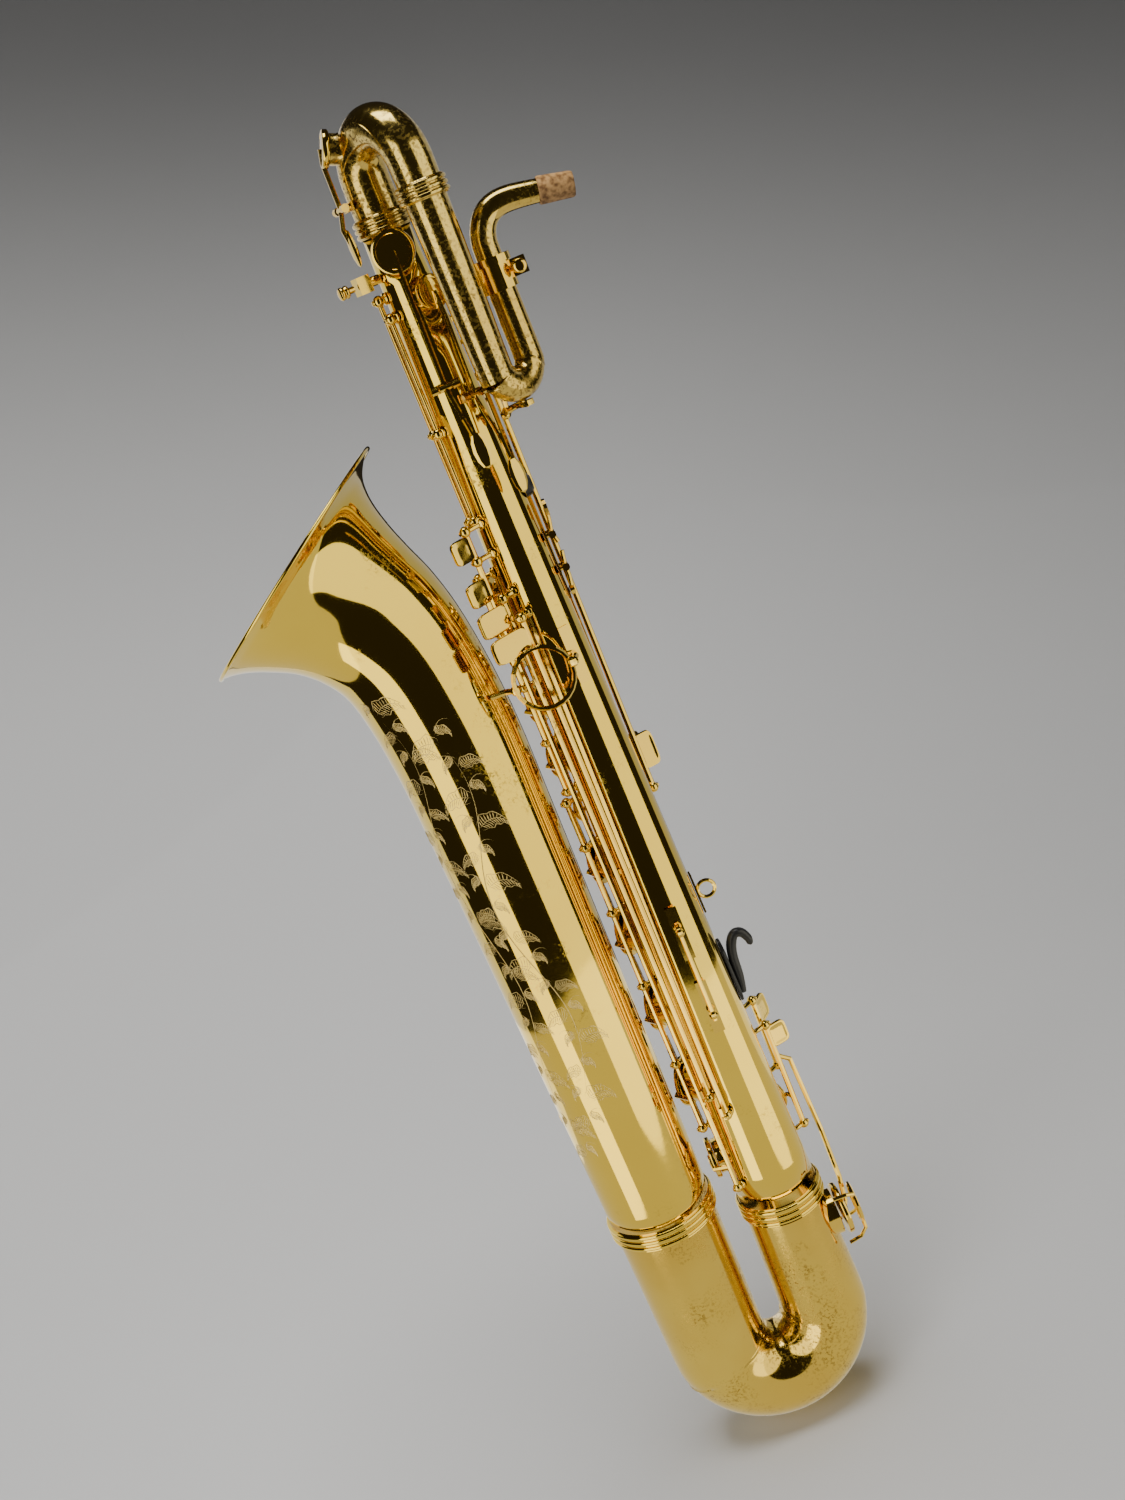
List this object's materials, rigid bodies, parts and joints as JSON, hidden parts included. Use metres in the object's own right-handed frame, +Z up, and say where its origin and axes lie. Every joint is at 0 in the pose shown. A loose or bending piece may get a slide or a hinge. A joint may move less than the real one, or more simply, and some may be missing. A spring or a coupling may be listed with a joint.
{
  "type": "baritone saxophone",
  "caption": "Large conical brass wind instrument with a flared bell, coiled upper tubes, hinged padded keys and a corked neck",
  "frame": {"origin": "centre of the strap ring's hole on the back of the body tube", "axes": "+Z up along the body tube, +X towards the player, -Y to the player's left"},
  "size_m": [0.3678, 0.2013, 1.0943],
  "materials": {
    "brass": "gold lacquer, polished",
    "worn_brass": "gold lacquer, worn and speckled",
    "rod_brass": "gold lacquer, satin",
    "black": "matt moulded",
    "cork": "sanded cork"
  },
  "bodies": {
    "body": {"bell": "brass", "bell_bow_ferrule": "brass", "bell_brace": "brass", "bell_key_rib": "rod_brass", "body_bow_ferrule": "brass", "body_tube": "brass", "bow": "worn_brass", "front_f_posts": "rod_brass", "left_guard_rod": "brass", "low_b_flat_guard": "brass", "low_b_guard": "brass", "low_c_guard": "brass", "low_key_rib": "rod_brass", "lyre_holder": "brass", "neck_receiver": "brass", "octave_posts": "rod_brass", "palm_d_posts": "rod_brass", "palm_e_flat_posts": "rod_brass", "return_pigtail": "worn_brass", "side_key_rib": "rod_brass", "stack_rib": "rod_brass", "strap_ring": "brass", "table_rib": "rod_brass", "thumb_hook": "black", "thumb_rest": "black", "upper_bow": "worn_brass", "upper_ferrule_body": "worn_brass", "upper_ferrule_return": "worn_brass", "water_key_posts": "rod_brass"},
    "neck": {"neck_tube": "worn_brass", "neck_cork": "cork"},
    "neck_screw": {"neck_screw": "rod_brass"},
    "lyre_screw": {"lyre_screw": "rod_brass"},
    "d_key": {"d_key": "brass"},
    "e_key": {"e_key": "brass"},
    "f_key": {"f_key": "brass"},
    "f_sharp_key": {"f_sharp_key": "brass"},
    "g_key": {"g_key": "brass"},
    "a_key": {"a_key": "brass"},
    "bis_key": {"bis_key": "brass"},
    "b_key": {"b_key": "brass"},
    "g_sharp_key": {"g_sharp_key": "brass"},
    "g_sharp_touch": {"g_sharp_touch": "rod_brass"},
    "low_b_key": {"low_b_key": "brass"},
    "low_b_flat_key": {"low_b_flat_key": "brass"},
    "low_a_key": {"low_a_key": "brass"},
    "low_b_touch": {"low_b_touch": "rod_brass"},
    "low_b_flat_touch": {"low_b_flat_touch": "rod_brass"},
    "low_c_key": {"low_c_key": "brass"},
    "low_c_sharp_key": {"low_c_sharp_key": "rod_brass"},
    "low_e_flat_key": {"low_e_flat_key": "rod_brass"},
    "side_b_flat_key": {"side_b_flat_key": "rod_brass"},
    "side_c_key": {"side_c_key": "rod_brass"},
    "side_high_e_key": {"side_high_e_key": "rod_brass"},
    "palm_d_key": {"palm_d_key": "brass"},
    "palm_e_flat_key": {"palm_e_flat_key": "brass"},
    "front_f_key": {"front_f_key": "brass"},
    "octave_touch": {"octave_touch": "brass"},
    "octave_vent_key": {"octave_vent_key": "brass"},
    "water_key": {"water_key": "brass"}
  },
  "joints": [
    {"name": "d_key_hinge", "type": "hinge", "parent": "body", "child": "d_key", "pos_m": [-0.075, -0.009, -0.157], "axis": [0, 0, 1], "range_deg": [-6.6, 0], "stiffness_Nm_per_rad": 0.6, "springref_deg": 6.88},
    {"name": "e_key_hinge", "type": "hinge", "parent": "body", "child": "e_key", "pos_m": [-0.075, -0.009, -0.089], "axis": [0, 0, 1], "range_deg": [-6.6, 0], "stiffness_Nm_per_rad": 0.6, "springref_deg": 6.88},
    {"name": "f_key_hinge", "type": "hinge", "parent": "body", "child": "f_key", "pos_m": [-0.075, -0.009, -0.0185], "axis": [0, 0, 1], "range_deg": [-6.6, 0], "stiffness_Nm_per_rad": 0.6, "springref_deg": 6.88},
    {"name": "f_sharp_key_hinge", "type": "hinge", "parent": "body", "child": "f_sharp_key", "pos_m": [-0.075, -0.009, 0.044], "axis": [0, 0, 1], "range_deg": [-6.6, 0], "stiffness_Nm_per_rad": 0.6, "springref_deg": 6.88},
    {"name": "g_key_hinge", "type": "hinge", "parent": "body", "child": "g_key", "pos_m": [-0.071, -0.008, 0.141], "axis": [0, 0, 1], "range_deg": [-6.6, 0], "stiffness_Nm_per_rad": 0.6, "springref_deg": 6.88},
    {"name": "a_key_hinge", "type": "hinge", "parent": "body", "child": "a_key", "pos_m": [-0.071, -0.008, 0.185], "axis": [0, 0, 1], "range_deg": [-6.6, 0], "stiffness_Nm_per_rad": 0.6, "springref_deg": 6.88},
    {"name": "bis_key_hinge", "type": "hinge", "parent": "body", "child": "bis_key", "pos_m": [-0.071, -0.008, 0.23], "axis": [0, 0, 1], "range_deg": [-6.6, 0], "stiffness_Nm_per_rad": 0.6, "springref_deg": 6.88},
    {"name": "b_key_hinge", "type": "hinge", "parent": "body", "child": "b_key", "pos_m": [-0.071, -0.008, 0.274], "axis": [0, 0, 1], "range_deg": [-6.6, 0], "stiffness_Nm_per_rad": 0.6, "springref_deg": 6.88},
    {"name": "g_sharp_key_hinge", "type": "hinge", "parent": "body", "child": "g_sharp_key", "pos_m": [-0.075, -0.009, 0.0925], "axis": [0, 0, 1], "range_deg": [0, 7], "stiffness_Nm_per_rad": 0.6, "springref_deg": -6.88},
    {"name": "g_sharp_touch_hinge", "type": "hinge", "parent": "body", "child": "g_sharp_touch", "pos_m": [-0.067, -0.023, 0.3225], "axis": [0, 0, 1], "range_deg": [0, 8], "stiffness_Nm_per_rad": 0.6, "springref_deg": -6.88},
    {"name": "low_b_key_hinge", "type": "hinge", "parent": "body", "child": "low_b_key", "pos_m": [-0.131, 0.0605, 0.028], "axis": [0, 0, 1], "range_deg": [0, 5.5], "stiffness_Nm_per_rad": 0.6, "springref_deg": -6.88},
    {"name": "low_b_flat_key_hinge", "type": "hinge", "parent": "body", "child": "low_b_flat_key", "pos_m": [-0.131, 0.0605, -0.0645], "axis": [0, 0, 1], "range_deg": [0, 5.5], "stiffness_Nm_per_rad": 0.6, "springref_deg": -6.88},
    {"name": "low_a_key_hinge", "type": "hinge", "parent": "body", "child": "low_a_key", "pos_m": [-0.131, 0.0605, -0.152], "axis": [0, 0, 1], "range_deg": [0, 5.5], "stiffness_Nm_per_rad": 0.6, "springref_deg": -6.88},
    {"name": "low_b_touch_hinge", "type": "hinge", "parent": "body", "child": "low_b_touch", "pos_m": [-0.0605, -0.0285, 0.063], "axis": [0, 0, 1], "range_deg": [-7, 0], "stiffness_Nm_per_rad": 0.6, "springref_deg": 6.88},
    {"name": "low_b_flat_touch_hinge", "type": "hinge", "parent": "body", "child": "low_b_flat_touch", "pos_m": [-0.053, -0.033, 0.0455], "axis": [0, 0, 1], "range_deg": [-7, 0], "stiffness_Nm_per_rad": 0.6, "springref_deg": 6.88},
    {"name": "low_c_key_hinge", "type": "hinge", "parent": "body", "child": "low_c_key", "pos_m": [0.002, 0.0285, -0.15], "axis": [0, 0, 1], "range_deg": [-3.7, 0], "stiffness_Nm_per_rad": 0.6, "springref_deg": 6.88},
    {"name": "low_c_sharp_key_hinge", "type": "hinge", "parent": "body", "child": "low_c_sharp_key", "pos_m": [-0.067, -0.023, 0.0345], "axis": [0, 0, 1], "range_deg": [0, 8], "stiffness_Nm_per_rad": 0.6, "springref_deg": -6.88},
    {"name": "low_e_flat_key_hinge", "type": "hinge", "parent": "body", "child": "low_e_flat_key", "pos_m": [0.004, 0.019, -0.1875], "axis": [0, 0, 1], "range_deg": [-7, 0], "stiffness_Nm_per_rad": 0.6, "springref_deg": 6.88},
    {"name": "side_b_flat_key_hinge", "type": "hinge", "parent": "body", "child": "side_b_flat_key", "pos_m": [-0.02, 0.028, 0.2345], "axis": [0, 0, 1], "range_deg": [-8, 0], "stiffness_Nm_per_rad": 0.6, "springref_deg": 6.88},
    {"name": "side_c_key_hinge", "type": "hinge", "parent": "body", "child": "side_c_key", "pos_m": [-0.0135, 0.0235, 0.258], "axis": [0, 0, 1], "range_deg": [-8, 0], "stiffness_Nm_per_rad": 0.6, "springref_deg": 6.88},
    {"name": "side_high_e_key_hinge", "type": "hinge", "parent": "body", "child": "side_high_e_key", "pos_m": [-0.008, 0.018, 0.2805], "axis": [0, 0, 1], "range_deg": [-8, 0], "stiffness_Nm_per_rad": 0.6, "springref_deg": 6.88},
    {"name": "palm_d_key_hinge", "type": "hinge", "parent": "body", "child": "palm_d_key", "pos_m": [-0.04036, -0.02717, 0.433], "axis": [0.9988, -0.0499, 0], "range_deg": [0, 5], "stiffness_Nm_per_rad": 0.6, "springref_deg": -6.88},
    {"name": "palm_e_flat_key_hinge", "type": "hinge", "parent": "body", "child": "palm_e_flat_key", "pos_m": [-0.02328, -0.02387, 0.421], "axis": [0.867, 0.4983, 0], "range_deg": [0, 5], "stiffness_Nm_per_rad": 0.6, "springref_deg": -6.88},
    {"name": "front_f_key_hinge", "type": "hinge", "parent": "body", "child": "front_f_key", "pos_m": [-0.06051, -0.0085, 0.568], "axis": [0.3401, -0.9404, 0], "range_deg": [0, 5], "stiffness_Nm_per_rad": 0.6, "springref_deg": -6.88},
    {"name": "octave_touch_hinge", "type": "hinge", "parent": "body", "child": "octave_touch", "pos_m": [-0.00878, 0, 0.306], "axis": [0, 1, 0], "range_deg": [-8, 0], "stiffness_Nm_per_rad": 0.6, "springref_deg": 6.88},
    {"name": "octave_vent_key_hinge", "type": "hinge", "parent": "body", "child": "octave_vent_key", "pos_m": [-0.00829, 0, 0.28], "axis": [0, 1, 0], "range_deg": [-8, 0], "stiffness_Nm_per_rad": 0.6, "springref_deg": 6.88},
    {"name": "water_key_hinge", "type": "hinge", "parent": "body", "child": "water_key", "pos_m": [-0.00068, -0.02882, 0.4028], "axis": [0.7982, 0.6024, 0], "range_deg": [0, 15], "stiffness_Nm_per_rad": 0.6, "springref_deg": -6.88},
    {"name": "neck_swivel", "type": "hinge", "parent": "body", "child": "neck", "pos_m": [0.021, -0.03, 0.486], "axis": [0, 0, 1], "range_deg": [-35, 35]},
    {"name": "neck_screw_turn", "type": "hinge", "parent": "body", "child": "neck_screw", "pos_m": [0.037, -0.0359, 0.49], "axis": [0, -1, 0], "continuous": true},
    {"name": "lyre_screw_turn", "type": "hinge", "parent": "body", "child": "lyre_screw", "pos_m": [-0.073, -0.0159, 0.517], "axis": [-0.9138, -0.4061, 0], "continuous": true}
  ],
  "couplings": [
    {"joint": "g_sharp_key_hinge", "follows": "g_sharp_touch_hinge", "ratio": 0.8},
    {"joint": "low_b_key_hinge", "follows": "low_b_touch_hinge", "ratio": -0.75},
    {"joint": "low_b_flat_key_hinge", "follows": "low_b_flat_touch_hinge", "ratio": -0.75},
    {"joint": "octave_vent_key_hinge", "follows": "octave_touch_hinge", "ratio": 0.9}
  ]
}
